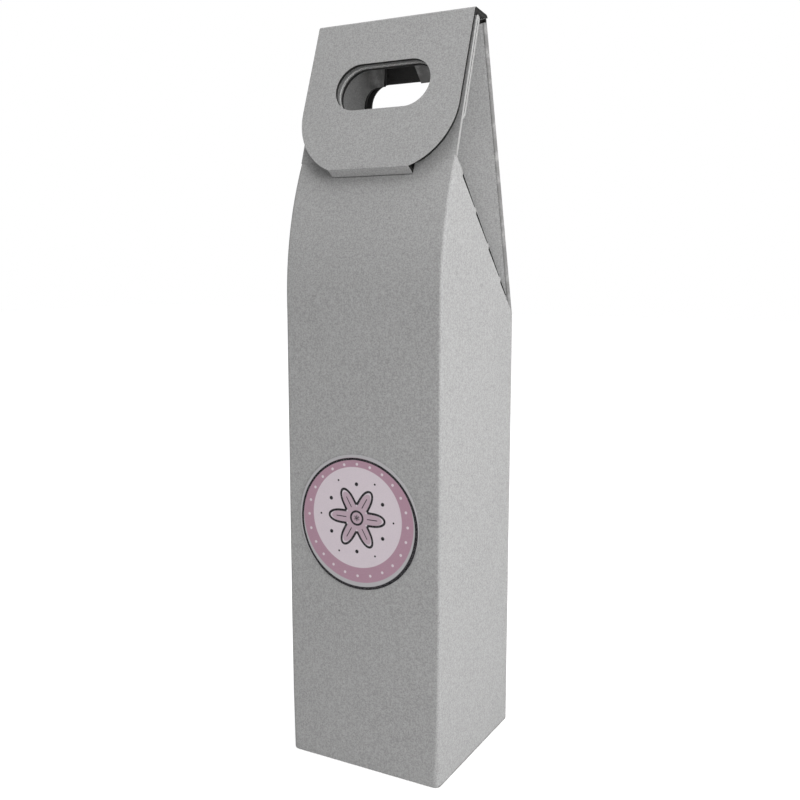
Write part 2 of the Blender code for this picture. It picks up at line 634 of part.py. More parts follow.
def build():
    clear_scene()
    build_front_wall()
    build_side_wall("right_side_wall", 1, BACK - CORNER_RADIUS - SEAM)
    build_side_wall("left_side_wall", -1, BACK - BOARD - SEAM - GLUE_FLAP_RADIUS - SEAM)
    build_back_wall()
    build_glue_flap()
    build_front_top()
    back_top = build_back_top()
    spine, fold = build_spine(back_top)
    flap = build_closure_flap(spine, fold)
    build_tuck_tab(flap)
    build_upper_gusset("right_upper_gusset", 1, back_top)
    build_upper_gusset("left_upper_gusset", -1, back_top)
    build_lower_gusset("right_lower_gusset", 1)
    build_lower_gusset("left_lower_gusset", -1)
    build_bottom()
    build_dust_flap("right_dust_flap", 1)
    build_dust_flap("left_dust_flap", -1)
    build_label()
    bpy.context.view_layer.update()


build()
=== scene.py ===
import math

import bmesh
import bpy
from mathutils import Matrix, Vector, noise
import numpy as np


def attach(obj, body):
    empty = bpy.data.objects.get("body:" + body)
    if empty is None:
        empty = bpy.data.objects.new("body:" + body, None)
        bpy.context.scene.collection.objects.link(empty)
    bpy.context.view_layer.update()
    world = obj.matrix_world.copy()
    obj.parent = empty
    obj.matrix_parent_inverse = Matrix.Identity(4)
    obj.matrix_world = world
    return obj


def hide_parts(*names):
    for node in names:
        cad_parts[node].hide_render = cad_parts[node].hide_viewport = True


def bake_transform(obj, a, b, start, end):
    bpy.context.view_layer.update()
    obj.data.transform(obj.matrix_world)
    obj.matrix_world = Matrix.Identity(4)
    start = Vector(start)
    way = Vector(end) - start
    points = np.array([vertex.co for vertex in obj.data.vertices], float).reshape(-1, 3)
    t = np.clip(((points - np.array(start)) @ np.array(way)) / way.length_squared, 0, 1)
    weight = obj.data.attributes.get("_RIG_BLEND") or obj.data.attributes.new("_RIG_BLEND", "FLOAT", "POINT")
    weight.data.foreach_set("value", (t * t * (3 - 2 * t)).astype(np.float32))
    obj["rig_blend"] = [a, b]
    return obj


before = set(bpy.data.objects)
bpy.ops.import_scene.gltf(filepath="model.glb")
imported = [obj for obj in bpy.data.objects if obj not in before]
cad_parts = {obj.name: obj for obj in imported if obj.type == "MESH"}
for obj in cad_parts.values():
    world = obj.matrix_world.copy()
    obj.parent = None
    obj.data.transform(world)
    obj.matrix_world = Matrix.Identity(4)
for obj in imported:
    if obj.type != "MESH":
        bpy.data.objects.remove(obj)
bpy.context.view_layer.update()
print("frame loaded with", len(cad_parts), "solids")

# The micro-flute board that every panel is cut from, in metres
board = {
    "thickness": 0.0016,
    "rimRadius": 0.00015,  # round pressed into a cut edge
    "rimShare": 0.29,  # of that round, down to its middle
    "wornBand": 0.0006,  # width along a cut edge that handling has worn
    "flutePitch": 0.0032,
    "cell": 0.0045,  # size of the faces that carry the buckles
    "buckle": 0.00010,  # how far a panel strays from flat
    "buckles": (46, 31),  # in a metre, across and along
    "creaseGap": 0.00004,  # left open between two panels at a crease
    "mitre": 0.003,  # width over which the inner side slides at a mitred crease
    "skin": 0.00035,  # outer paper that bends round a crease
}
# Tolerances, in metres and radians
near = {"cut": 0.000002, "same": 0.000001, "drawn": 0.00001, "edge": 0.0001, "angle": 0.01}
thick = board["thickness"]
marks = ("depth", "wear", "bare")  # kept at each vert of a sheet, for its finish
quarter = math.pi / 2


def oblong(half, low, high):
    return [(-half, low), (half, low), (half, high), (-half, high)]


def lengthAndWay(start, end):
    return (end - start).length, (end - start).normalized()


def away(direction):
    # the outer side of a panel that runs in this direction
    return Vector((0, direction.z, -direction.y))


def wayAt(angle):
    # direction in the side view, measured up from +Y
    return Vector((0, math.cos(angle), math.sin(angle)))


def spread(start, length, count, first=1, beyond=-1):
    # evenly spaced places, from the first step to the one beyond the last
    return [start + length * step / count for step in range(first, count + beyond + 1)]


def creasedAt(low, high=math.inf):
    # a panel's start is a crease, and so is its end where that is given
    return lambda x, z: z < low + near["edge"] or z > high - near["edge"]


def roundedShape(corners, radii, segments=8):
    # outline of a polygon whose corners are rounded, as points across and along
    scratch = bmesh.new()
    verts = [scratch.verts.new((x, 0, z)) for x, z in corners]
    scratch.faces.new(verts)
    for radius in sorted(set(radii) - {0}):
        picked = [vert for vert, own in zip(verts, radii) if own == radius]
        bmesh.ops.bevel(scratch, geom=picked, offset=radius, offset_type="OFFSET", segments=segments,
                        profile=0.5, affect="VERTICES", material=-1)
    scratch.faces.ensure_lookup_table()
    points = [(vert.co.x, vert.co.z) for vert in scratch.faces[0].verts]
    scratch.free()
    return points


def sliceAcross(mesh, point, normal):
    bmesh.ops.bisect_plane(mesh, geom=mesh.verts[:] + mesh.edges[:] + mesh.faces[:], dist=near["cut"],
                           plane_co=point, plane_no=normal)


def punch(mesh, points):
    # cut a convex shape out of a flat sheet
    region = set(mesh.faces)
    middle = Vector((sum(x for x, z in points) / len(points), 0, sum(z for x, z in points) / len(points)))
    for index, (x, z) in enumerate(points):
        here = Vector((x, 0, z))
        after = points[(index + 1) % len(points)]
        side = Vector((0, 1, 0)).cross(Vector((after[0], 0, after[1])) - here)
        if side.length == 0:
            continue
        side.normalize()
        if side.dot(middle - here) > 0:
            side.negate()
        edges = {edge for face in region for edge in face.edges}
        verts = {vert for face in region for vert in face.verts}
        cut = bmesh.ops.bisect_plane(mesh, geom=[*verts, *edges, *region], dist=near["cut"], plane_co=here,
                                     plane_no=side)
        region |= {item for item in cut["geom"] if isinstance(item, bmesh.types.BMFace)}
        region = {face for face in region if face.is_valid and side.dot(face.calc_center_median() - here) < 0}
    bmesh.ops.delete(mesh, geom=list(region), context="FACES")


def faceFront(mesh):
    # a flat sheet is drawn with its outer side towards -Y
    bmesh.ops.dissolve_limit(mesh, angle_limit=near["angle"], verts=mesh.verts[:], edges=mesh.edges[:])
    bmesh.ops.recalc_face_normals(mesh, faces=mesh.faces)
    mesh.faces.ensure_lookup_table()
    if mesh.faces[0].normal.y > 0:
        bmesh.ops.reverse_faces(mesh, faces=mesh.faces)
    return mesh


def flatSheet(points, holes=()):
    mesh = bmesh.new()
    mesh.faces.new([mesh.verts.new((x, 0, z)) for x, z in points])
    bmesh.ops.remove_doubles(mesh, verts=mesh.verts, dist=near["drawn"])
    for hole in holes:
        punch(mesh, hole)
    return faceFront(mesh)


def pressRims(mesh, crease):
    # rings of narrow faces along every edge: a cut edge is pressed round and worn, a crease isn't
    rim, share = board["rimRadius"], board["rimShare"]
    inner = mesh.faces[:]
    for width in (share * rim, (1 - share) * rim, board["wornBand"]):
        bmesh.ops.inset_region(mesh, faces=inner, thickness=width, use_even_offset=True, use_boundary=True)
    level = {vert: 0 for vert in mesh.verts if vert.is_boundary}
    folded = {vert: crease(vert.co.x, vert.co.z) for vert in level}
    ring = list(level)
    for step in (1, 2, 3):
        after = []
        for vert in ring:
            for edge in vert.link_edges:
                other = edge.other_vert(vert)
                if other not in level:
                    level[other] = step
                    folded[other] = folded[vert]
                    after.append(other)
        ring = after
    depth, wear, bare = (mesh.verts.layers.float.new(mark) for mark in marks)
    for vert in mesh.verts:
        # the ring that a vert is on gives its depth and wear
        own = level.get(vert, 3)
        cut = not folded.get(vert, False)
        vert[depth] = (rim, share * rim, 0, 0)[own] if cut else 0
        vert[wear] = (1, 1, 0.8, 0)[own] if cut else (0.999, 0.8, 0.5, 0)[own]
        vert[bare] = 1 if cut else 0


def secondLayer(mesh):
    # closes a sheet with a second layer of faces, and gives the new verts
    grown = bmesh.ops.extrude_face_region(mesh, geom=mesh.faces[:], use_keep_orig=True)
    return [item for item in grown["geom"] if isinstance(item, bmesh.types.BMVert)]


def asDrawn(x, z, below):
    return Vector((x, below, z))


def formSheet(mesh, seed, wrap=asDrawn, pull=None, buckle=board["buckle"], thickness=thick,
              flutes=0, crush=lambda x, z: 0):
    # give the sheet its thickness, buckle it and bend it into place
    across = mesh.verts.layers.float.new("across")
    # each vert keeps how much painted shade it carries
    crushed = mesh.verts.layers.float.new("crush")
    for vert in mesh.verts:
        vert[across] = vert.co.x * math.cos(flutes) + vert.co.z * math.sin(flutes)
        vert[crushed] = crush(vert.co.x, vert.co.z)
    inner = set(secondLayer(mesh))
    depth, wear, bare = (mesh.verts.layers.float[mark] for mark in marks)
    for vert in mesh.verts:
        x, z = vert.co.x, vert.co.z
        spot = Vector((x * board["buckles"][0], z * board["buckles"][1], seed))
        swell = (0.5 + 0.5 * noise.noise(spot)) * buckle * (1 - vert[wear])
        vert[wear] *= vert[bare]
        below = thickness - vert[depth] if vert in inner else vert[depth]
        if pull and vert in inner:
            z += pull(z)
        vert.co = wrap(x, z, below + swell)
        vert[depth] = below / thickness
    return mesh


def mitred(crease, amount, width=board["mitre"]):
    # slides the inner side near a crease, so that two panels close up there
    return lambda z: amount * max(1 - abs(z - crease) / width, 0)


def boardPanel(outline, seed, holes=(), crease=lambda x, z: False, cutsAcross=(), cutsAlong=(), **forming):
    # a panel of board from its outline or from a flat sheet
    mesh = flatSheet(outline, holes) if isinstance(outline, list) else outline
    pressRims(mesh, crease)
    for axis, extra in ((0, cutsAcross), (2, cutsAlong)):
        way = Vector((1, 0, 0)) if axis == 0 else Vector((0, 0, 1))
        places = [vert.co[axis] for vert in mesh.verts]
        start, length = min(places), max(places) - min(places)
        count = max(int(round(length / board["cell"])), 1)
        for value in spread(start, length, count) + list(extra):
            sliceAcross(mesh, way * value, way)
    return formSheet(mesh, seed, **forming)


def foldedPath(start, heading, steps, hand):
    # wraps a sheet along straight lengths and (turn, radius) bends; hand says which side is outside
    def wrap(x, z, below):
        spot, way, left = start.copy(), heading, z
        for index, step in enumerate(steps):
            turn, radius = step if isinstance(step, tuple) else (0, 0)
            length = abs(turn) * radius if radius else step
            here = left if index == len(steps) - 1 else min(left, length)
            if radius and here > 0:
                part = math.copysign(here / radius, turn)
                middle = way + part / 2
                spot += 2 * radius * math.sin(abs(part) / 2) * wayAt(middle)
                way += part
            else:
                spot += here * wayAt(way)
            left -= here
            if left <= 0:
                break
        return spot + Vector((x, 0, 0)) - below * wayAt(way + hand * quarter)
    return wrap


def addObject(name, data):
    # a new object, from its data or from a bmesh
    if isinstance(data, bmesh.types.BMesh):
        mesh, data = data, bpy.data.meshes.new(name)
        mesh.to_mesh(data)
        mesh.free()
    made = bpy.data.objects.new(name, data)
    bpy.context.scene.collection.objects.link(made)
    return made


def finishPiece(name, mesh, body, nodes=None, lay=None, finish=None, bend=None, slot=None):
    # lays the mesh in its place and ties it to its body, and hides the solids that it replaces
    nodes = [body] if nodes is None else nodes
    if lay is not None:
        bmesh.ops.transform(mesh, matrix=lay, verts=mesh.verts)
    bmesh.ops.remove_doubles(mesh, verts=mesh.verts, dist=near["same"])
    bmesh.ops.triangulate(mesh, faces=[face for face in mesh.faces if len(face.verts) > 4])
    bmesh.ops.recalc_face_normals(mesh, faces=mesh.faces)
    for face in mesh.faces:
        face.smooth = True
    piece = addObject(name, mesh)
    piece.data.materials.append(finish or boardFinish)
    if bend:
        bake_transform(piece, body, *bend)
    else:
        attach(piece, body)
    if nodes:
        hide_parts(*nodes)
    slot or nodes[0]
    print("piece", name, len(piece.data.polygons), "faces")


def facing(origin, along, outward=None, across=(1, 0, 0)):
    # lays a panel that is drawn across X and along Z with its outer side towards -Y
    turned = Matrix((across, -Vector(outward or away(along)), along)).transposed()
    return Matrix.Translation(origin) @ turned.to_4x4()


def operators(operation):
    # an operator of Signal and its reflected form
    return (lambda self, other: self.nodes.maths(operation, self, other),
            lambda self, other: self.nodes.maths(operation, other, self))


class Signal:
    # a shader socket that can be added, multiplied and so on
    def __init__(self, nodes, socket):
        self.nodes = nodes
        self.socket = socket

    __add__, __radd__ = operators("ADD")
    __sub__, __rsub__ = operators("SUBTRACT")
    __mul__, __rmul__ = operators("MULTIPLY")
    __truediv__, __rtruediv__ = operators("DIVIDE")

    def __abs__(self):
        return self.nodes.maths("ABSOLUTE", self)


class Nodes:
    # makes the nodes of one tree
    def __init__(self, tree):
        self.tree = tree

    def node(self, kind, settings=None, inputs=None, output=0):
        made = self.tree.nodes.new(kind)
        for key, value in (settings or {}).items():
            setattr(made, key, value)
        given = inputs or {}
        for key, value in (given.items() if isinstance(given, dict) else enumerate(given)):
            if isinstance(value, Signal):
                self.tree.links.new(value.socket, made.inputs[key])
            else:
                made.inputs[key].default_value = value
        return Signal(self, made.outputs[output]) if len(made.outputs) else None

    def maths(self, operation, *values):
        return self.node("ShaderNodeMath", {"operation": operation}, values)

    def most(self, first, *others):
        for other in others:
            first = self.maths("MAXIMUM", first, other)
        return first

    def whiteRays(self):
        # 1 for the rays that see the background as white
        camera, glossy, transmission = (self.node("ShaderNodeLightPath", output="Is " + kind + " Ray")
                                        for kind in ("Camera", "Glossy", "Transmission"))
        return self.maths("MINIMUM", camera + glossy + transmission, 1)


class Finish(Nodes):
    # one material
    def __init__(self, name, **constants):
        self.material = bpy.data.materials.new(name)
        self.material.use_nodes = True
        super().__init__(self.material.node_tree)
        self.shader = self.tree.nodes["Principled BSDF"]
        for socket, value in constants.items():
            self.shader.inputs[socket.replace("_", " ")].default_value = value

    def attribute(self, name):
        return self.node("ShaderNodeAttribute", {"attribute_name": name}, output="Fac")

    def place(self, **mapping):
        # Object coordinates, moved and scaled by a Mapping node
        spot = self.node("ShaderNodeTexCoord", output="Object")
        return self.node("ShaderNodeMapping", {}, {"Vector": spot, **mapping}) if mapping else spot

    def grain(self, scale, detail, roughness=0.5, vector=None):
        return self.node("ShaderNodeTexNoise", {}, {"Vector": vector or self.place(), "Scale": scale,
                                                    "Detail": detail, "Roughness": roughness})

    def step(self, value, low, high):
        # runs smoothly from 0 at low to 1 at high
        return self.node("ShaderNodeMapRange", {"interpolation_type": "SMOOTHSTEP"},
                         {"Value": value, "From Min": low, "From Max": high})

    def mix(self, factor, first, second):
        return self.node("ShaderNodeMix", {"data_type": "RGBA"}, {0: factor, 6: first, 7: second}, output=2)

    def bump(self, height, distance, strength):
        return self.node("ShaderNodeBump", {}, {"Height": height, "Distance": distance, "Strength": strength})

    def feed(self, **links):
        for socket, signal in links.items():
            self.tree.links.new(signal.socket, self.shader.inputs[socket.replace("_", " ")])
        return self.material


boardLook = {
    "liner": (0.372, 0.372, 0.372, 1),  # outer paper
    "shade": (0.325, 0.324, 0.325, 1),  # its darker patches
    "inner": (0.034, 0.033, 0.032, 1),  # paper inside the box, painted near black as the shade inside it
    "shadedCutColour": (0.012, 0.012, 0.012, 1),  # cut faces painted black as shade
    "speck": (0.62, 0.62, 0.62, 1),
    "fleck": (0.17, 0.165, 0.16, 1),
    "rubbed": (0.56, 0.56, 0.56, 1),
    "paintedShadeColour": (0.14, 0.138, 0.136, 1),  # painted shade on the paper, where the shade mask is set
    "fibreScale": (1500, 1500, 420),  # the fibres lie along the height
    "innerShare": 0.88,
    "fluteShare": 0.03,  # how much the flutes show through
    "rubbedShare": 0.16,
    "bumpHeight": 0.00006,
    "bumpStrength": 0.7,
}
# Scale and detail of each grain, and its roughness where it isn't 0.5
paperGrains = {
    "patches": (24, 3),
    "cloud": (160, 3),
    "felt": (2600, 2),
    "coarse": (1450, 3, 0.7),
    "marks": (105, 3, 0.6),
    "flecks": (430, 1),
    "rubs": (420, 2),
}
# How each shows: its range, its share, and the colour that it adds
paperLayers = (
    ("patches", 0.35, 0.70, 0.30, "shade"),
    ("cloud", 0.35, 0.70, 0.12, "shade"),
    ("coarse", 0.42, 0.60, 0.27, "speck"),
    ("coarse", 0.58, 0.38, 0.21, "fleck"),
    ("felt", 0.40, 0.62, 0.19, "fleck"),
    ("fibres", 0.45, 0.75, 0.16, "speck"),
    ("flecks", 0.73, 0.79, 0.25, "fleck"),
    ("marks", 0.72, 0.76, 0.30, "fleck"),
)


def makeBoardFinish(name, core, hollowShade):
    # grey recycled liner over a fluted core
    look = Finish(name, Roughness=0.9, Specular_IOR_Level=0.25)
    depth, wear, bare, crush, across = (look.attribute(mark) for mark in marks + ("crush", "across"))
    flute = look.maths("SINE", across * (2 * math.pi / board["flutePitch"]))
    grains = {kind: look.grain(*settings) for kind, settings in paperGrains.items()}
    grains["fibres"] = fibres = look.grain(1.0, 3, 0.6, look.place(Scale=boardLook["fibreScale"]))
    paper = boardLook["liner"]
    for kind, low, high, share, colour in paperLayers:
        paper = look.mix(look.step(grains[kind], low, high) * share, paper, boardLook[colour])
    paper = look.mix((flute * 0.5 + 0.5) * boardLook["fluteShare"], paper, boardLook["fleck"])
    # the inner side is painted near black, as the shade inside the box
    paper = look.mix(look.step(depth, 0.4, 0.6) * boardLook["innerShare"], paper, boardLook["inner"])
    # painted shade darkens the paper where the shade mask is set, and worn rims are paler and rubbed unevenly
    paper = look.mix(crush * look.step(grains["cloud"], 0.2, 0.6), paper, boardLook["paintedShadeColour"])
    rubbed = wear * look.step(grains["rubs"], 0.35, 0.7)
    paper = look.mix(rubbed * boardLook["rubbedShare"], paper, boardLook["rubbed"])
    # cut faces: two liners with the fluted sheet between them, whose hollows are painted dark as shade
    sheet = 1 - look.step(abs(depth - (flute * 0.34 + 0.5)), 0.07, 0.13)
    solid = look.most(sheet, 1 - look.step(depth, 0.12, 0.19), look.step(depth, 0.81, 0.88))
    inside = look.step(depth, 0.04, 0.09) * (1 - look.step(depth, 0.91, 0.96)) * bare
    cut = look.mix(solid, hollowShade, core)
    cut = look.mix(look.step(fibres, 0.4, 0.8) * 0.4, cut, hollowShade)
    # cut faces are painted black as shade where the shade mask is set
    cut = look.mix(crush, cut, boardLook["shadedCutColour"])
    height = (fibres - 0.5) * 0.5 + (grains["felt"] - 0.5) * 0.3 + (grains["coarse"] - 0.5) * 0.5 + flute * 0.2
    height = height - inside * (1 - solid) * 4
    return look.feed(Base_Color=look.mix(inside, paper, cut),
                     Normal=look.bump(height, boardLook["bumpHeight"], boardLook["bumpStrength"]))


# most cut edges are painted near black as shade, and the folded front layer's are painted pale as if lit by the
# key light
boardFinish = makeBoardFinish("microFluteBoard", (0.020, 0.020, 0.019, 1), (0.007, 0.007, 0.007, 1))
litCutFinish = makeBoardFinish("litCutBoard", (0.66, 0.66, 0.655, 1), (0.34, 0.34, 0.335, 1))
print("board finishes made")


# The folded tube: front, both sides, back and glue flap in one sheet
tube = {
    "halfWidth": 0.0425,
    "front": -0.0425,
    "back": 0.0425,
    "frontCrease": 0.300,  # height of the crease above the front
    "backCrease": 0.224,
    "shoulderRise": 0.066,  # height of the part that bows back
    "shoulderDepth": 0.0145,
    "cornerRadius": 0.0014,
    "rearRadius": 0.0019,
    "footRadius": 0.0014,
    "footInset": 0.0011,
    "softRadius": 0.0032,  # radius of the front corners at the foot
    "softHeight": 0.080,  # where they have it no longer
    "footShade": 0.0016,  # height of the painted shade line along the foot of the sides
    # strength of that painted shade
    "paintedShade": 0.6,
    "glueWidth": 0.017,
    "glueRadius": 0.0022,
    "glueGap": 0.0003,
    "glueStart": 0.008,
    "glueTaper": 0.006,
    "seamSetback": 0.0009,
    "slotDrop": 0.0004,  # how far the slot reaches below the tab
    "slotHeight": 0.0060,
    "slotHalf": 0.0219,
    "peakCut": 0.0016,
    "topInset": 0.00056,  # from each side to the end of the front's top edge
    "creaseBand": 0.001,  # what lies this near a crease belongs to it
    "footCuts": (0.12, 0.4, 0.7, 1.0, 1.5),  # heights, as shares of the foot's radius
}
# The slits of the perforated diagonals, measured up them from the back crease
slits = {
    "tops": (0.0261, 0.0485, 0.0709, 0.0933),
    "length": 0.0205,
    "deep": 0.0012,  # how far the upper end of a slit opens
    "shallow": 0.0004,
    "ramp": 0.0009,
}
glueFace = tube["back"] - thick - tube["glueGap"]
halfWidth = tube["halfWidth"]
backCrease = Vector((0, tube["back"], tube["backCrease"]))
frontCrease = Vector((0, tube["front"] + tube["shoulderDepth"], tube["frontCrease"]))
shoulderStart = tube["frontCrease"] - tube["shoulderRise"]
shoulderRadius = (tube["shoulderRise"] ** 2 + tube["shoulderDepth"] ** 2) / (2 * tube["shoulderDepth"])
diagonalLength, diagonal = lengthAndWay(backCrease, frontCrease)
offDiagonal = away(diagonal)  # up and back, away from the side wall

# The slanted layers above the tube
handle = {
    "tabCrease": Vector((0, -0.035835, 0.2954)),
    "tabDrop": math.radians(33.4),
    "tabHalf": 0.02175,
    "spineRear": Vector((0, 0.004301, 0.3669)),
    "spineFront": Vector((0, -0.009528, 0.368305)),
    "foldRadius": 0.0019,
    "holeWidth": 0.0512,
    "holeHeight": 0.0241,
    "flapHoleDrop": 0.0353,
    "backHoleLag": 0.0039,
    "holeAllowance": 0.0006,  # the holes behind the flap's are a little larger
    "holeRound": 0.9999,  # share of the hole's half height that its ends are rounded to
}

# The bottom: main flap with its tongue, and two dust flaps that lie on it
bottom = {
    "foldRadius": 0.0020,
    "sideGap": 0.0003,
    "tongueLean": math.radians(10),
    "tongueLength": 0.0150,
    "tongueCorner": 0.007,
    "tongueClearance": 0.0006,
    "dustGap": 0.0132,  # left open between the dust flaps
    "dustCorner": 0.006,
    "dustFrontMargin": 0.0065,
    "dustBackMargin": 0.0045,
    "dustBackCorner": 0.0024,
    "buckle": 0.00008,
    "dustBuckle": 0.00006,
}


def bow(height):
    # how far the front has bowed back at this height
    rise = max(height - shoulderStart, 0)
    return shoulderRadius - math.sqrt(max(shoulderRadius ** 2 - rise ** 2, 0))


def slotFoot():
    # where the underside of the tab meets the front
    height = handle["tabCrease"].z
    for _ in range(8):
        gap = tube["front"] + bow(height) - handle["tabCrease"].y
        height = handle["tabCrease"].z - gap * math.tan(handle["tabDrop"])
    return height - tube["slotDrop"]


def wrapTube(x, z, below):
    # folds the blank round the tube, bows its shoulder back and rounds its foot
    half, radius, front = halfWidth, tube["cornerRadius"], tube["front"]
    footRadius, side = tube["footRadius"], 1 if x > 0 else -1
    rearRadius = tube["rearRadius"] if side > 0 else tube["glueRadius"]
    rearFace = tube["back"] if side > 0 else glueFace
    frontEnd = half - radius + quarter * radius
    rearStart = frontEnd + rearFace - rearRadius - (front + radius)
    rearEnd = rearStart + quarter * rearRadius
    reach = abs(x)
    if below < thick / 2 and z < footRadius:
        below += min(footRadius - math.sqrt(footRadius ** 2 - (footRadius - z) ** 2), tube["footInset"])
    if reach < frontEnd:
        lean = math.asin(min(max(z - shoulderStart, 0) / shoulderRadius, 1))
        turn = max(reach - half + radius, 0) / radius
        outerY = front + radius * (1 - math.cos(turn))
        level = below * math.cos(lean)
        spot = Vector((min(min(reach, half - radius) + (radius - below) * math.sin(turn), half - below),
                       max(outerY + level * math.cos(turn), front + level),
                       z - below * math.cos(turn) * math.sin(lean)))
    elif reach < rearStart:
        outerY = front + radius + reach - frontEnd
        spot = Vector((half - below, max(outerY, front + below), z))
    else:
        turn = min(reach - rearStart, rearEnd - rearStart) / rearRadius
        outerY = rearFace - rearRadius * (1 - math.sin(turn))
        spot = Vector((half - rearRadius + (rearRadius - below) * math.cos(turn) - max(reach - rearEnd, 0),
                       rearFace - rearRadius + (rearRadius - below) * math.sin(turn), z))
    softening = max(1 - z / tube["softHeight"], 0) ** 2
    soft = radius + (tube["softRadius"] - radius) * softening
    outward = Vector((spot.x - half + soft, spot.y - front - soft, 0))
    if softening > 0 and outward.x > 0 > outward.y:
        spot = Vector((half - soft, front + soft, z)) + outward.normalized() * (soft - below)
    spot.x *= side
    spot.y += bow(z) * min((tube["back"] - outerY) / (tube["back"] - front - radius), 1)
    return spot


def roundBlank(y, z):
    # how far round the blank a point on the side wall lies
    flat = tube["front"] + tube["cornerRadius"]
    share = bow(z) / (tube["back"] - flat)
    upright = (y - share * tube["back"]) / (1 - share)
    return halfWidth - tube["cornerRadius"] + quarter * tube["cornerRadius"] + upright - flat


def onDiagonal(distance, past):
    # blank place of a point up the diagonal and past it
    spot = backCrease + diagonal * distance + offDiagonal * past
    return roundBlank(spot.y, spot.z), spot.z


def bridges(foot, peak):
    # the parts of the diagonal between the slits
    tops = slits["tops"]
    return list(zip((foot, *tops), [top - slits["length"] for top in tops] + [peak]))


def diagonalEdge(foot, peak):
    # up the perforated diagonal: each slit opens upwards, so that the edge steps in and out
    gap, ramp = board["creaseGap"], slits["ramp"]
    points = [onDiagonal(foot, -gap)]
    for top in slits["tops"]:
        low = max(top - slits["length"], foot + ramp)
        points += [onDiagonal(low, -gap), onDiagonal(low + ramp, -slits["shallow"]),
                   onDiagonal(top - slits["length"] / 2, -(slits["deep"] + slits["shallow"]) / 2),
                   onDiagonal(top - ramp, -slits["deep"]), onDiagonal(top, -gap)]
    return points + [onDiagonal(peak, -gap)]


def tubeCrease(x, z):
    # the front and back creases, the bridges of the diagonals and the folded lower edges
    corner = halfWidth - tube["cornerRadius"]
    rear = roundBlank(tube["back"] - tube["rearRadius"], 0)
    band = tube["creaseBand"]
    if abs(x) < corner + band:
        return z > frontCrease.z - band
    if z < near["edge"]:
        return abs(x) < rear
    if abs(x) > rear:
        return abs(z - backCrease.z) < band or abs(z - bottom["foldRadius"]) < 3 * near["edge"]
    distance = (z - backCrease.z) / diagonal.z
    return distance > 0 and abs(abs(x) - onDiagonal(distance, -board["creaseGap"])[0]) < near["edge"]


def buildTube():
    # the blank lies flat: across is the way round the tube, 0 at the middle of the front
    half, radius, back = halfWidth, tube["cornerRadius"], tube["back"]
    rearRadius, glueRadius, gap = tube["rearRadius"], tube["glueRadius"], board["creaseGap"]
    rearRight = roundBlank(back - rearRadius, 0)
    rearLeft = roundBlank(glueFace - glueRadius, 0)
    backStart = rearRight + quarter * rearRadius
    endRight = backStart + (half - rearRadius) + half - tube["seamSetback"]
    glueRoot = rearLeft + quarter * glueRadius
    endLeft = glueRoot + tube["glueWidth"] - glueRadius
    top = backCrease.z - gap
    footGap = bottom["foldRadius"] + gap  # the back wall ends where the bottom flap's bend starts
    notch = backStart + bottom["sideGap"]
    peak = diagonalLength - tube["peakCut"] / diagonal.z
    right = diagonalEdge((rearRadius + gap) / -diagonal.y, peak)
    left = diagonalEdge((back - glueFace + glueRadius) / -diagonal.y, peak)
    points = [(-rearLeft, 0), (notch, 0), (notch, footGap), (endRight, footGap), (endRight, top),
              (rearRight, top)] + right
    topHalf = half - tube["topInset"]
    points += [(topHalf, frontCrease.z - gap), (-topHalf, frontCrease.z - gap)]
    points += [(-x, z) for x, z in left[::-1]]
    points += [(-rearLeft, top), (-glueRoot, top), (-endLeft, top - tube["glueTaper"]),
               (-endLeft, tube["glueStart"] + tube["glueTaper"]), (-glueRoot, tube["glueStart"]),
               (-rearLeft, tube["glueStart"])]
    foot, end = slotFoot(), tube["slotHalf"]
    head = foot + tube["slotHeight"]
    # closer cuts where the sheet bends
    bends = []
    for hand, bendRadius, place in ((1, radius, half - radius), (-1, radius, half - radius),
                                    (1, rearRadius, rearRight), (-1, glueRadius, rearLeft)):
        bends += [hand * spot for spot in spread(place, quarter * bendRadius, 7, -1, 1)]
    softer = tube["softRadius"] - radius
    pairs = list(zip(spread(half - radius, -softer, 5, 1, 0),
                     spread(half - radius + quarter * radius, softer, 5, 1, 0)))
    bends += [hand * place for hand in (1, -1) for pair in pairs for place in pair]
    rows = [tube["footRadius"] * share for share in tube["footCuts"]]
    rows += spread(shoulderStart, tube["shoulderRise"], 23, 0)

    # painted shade along the foot of the side walls
    def paintedShade(x, z):
        return tube["paintedShade"] if z < tube["footShade"] and half < abs(x) < rearRight else 0

    return boardPanel(points, 3.7, [oblong(end, foot, head)], tubeCrease, bends, rows, wrap=wrapTube,
                      crush=paintedShade)


finishPiece("cartonTube", buildTube(), "carton",
            ["front_wall", "right_side_wall", "left_side_wall", "back_wall", "glue_flap"])


def handHole(centre, allowance=handle["holeAllowance"]):
    width = handle["holeWidth"] / 2 + allowance
    height = handle["holeHeight"] / 2 + allowance
    return roundedShape(oblong(width, centre - height, centre + height), [height * handle["holeRound"]] * 4, 12)


backLength, backUp = lengthAndWay(backCrease, handle["spineRear"])
backLean = math.asin(-backUp.y)
backHole = backLength - handle["flapHoleDrop"] - handle["backHoleLag"]
flapLength, flapDown = lengthAndWay(handle["spineFront"], handle["tabCrease"])
tabAlong = wayAt(-handle["tabDrop"])
tabMitre = thick * math.tan(math.acos(flapDown.dot(tabAlong)) / 2)
spineLength, spineAlong = lengthAndWay(handle["spineRear"], handle["spineFront"])
spineTurn = backUp.angle(spineAlong)
flapTurn = spineAlong.angle(flapDown)
spineTangent = handle["foldRadius"] * math.tan(spineTurn / 2)
flapTangent = handle["foldRadius"] * math.tan(flapTurn / 2)

# The front layer is folded double at its top
frontLayer = {
    "topDrop": Vector((0, 0.0054, -0.0036)),  # its top edge, from the flap's fold
    "tilt": math.radians(2.3),  # how far it stands out towards the flap
    "bendRadius": 0.00185,
    "innerPly": 0.049,
    "innerCorner": 0.003,
    "sideGap": 0.0003,
    "darkRim": 0.0003,  # width round the inner ply's hole whose cut edge is painted black as shade
}


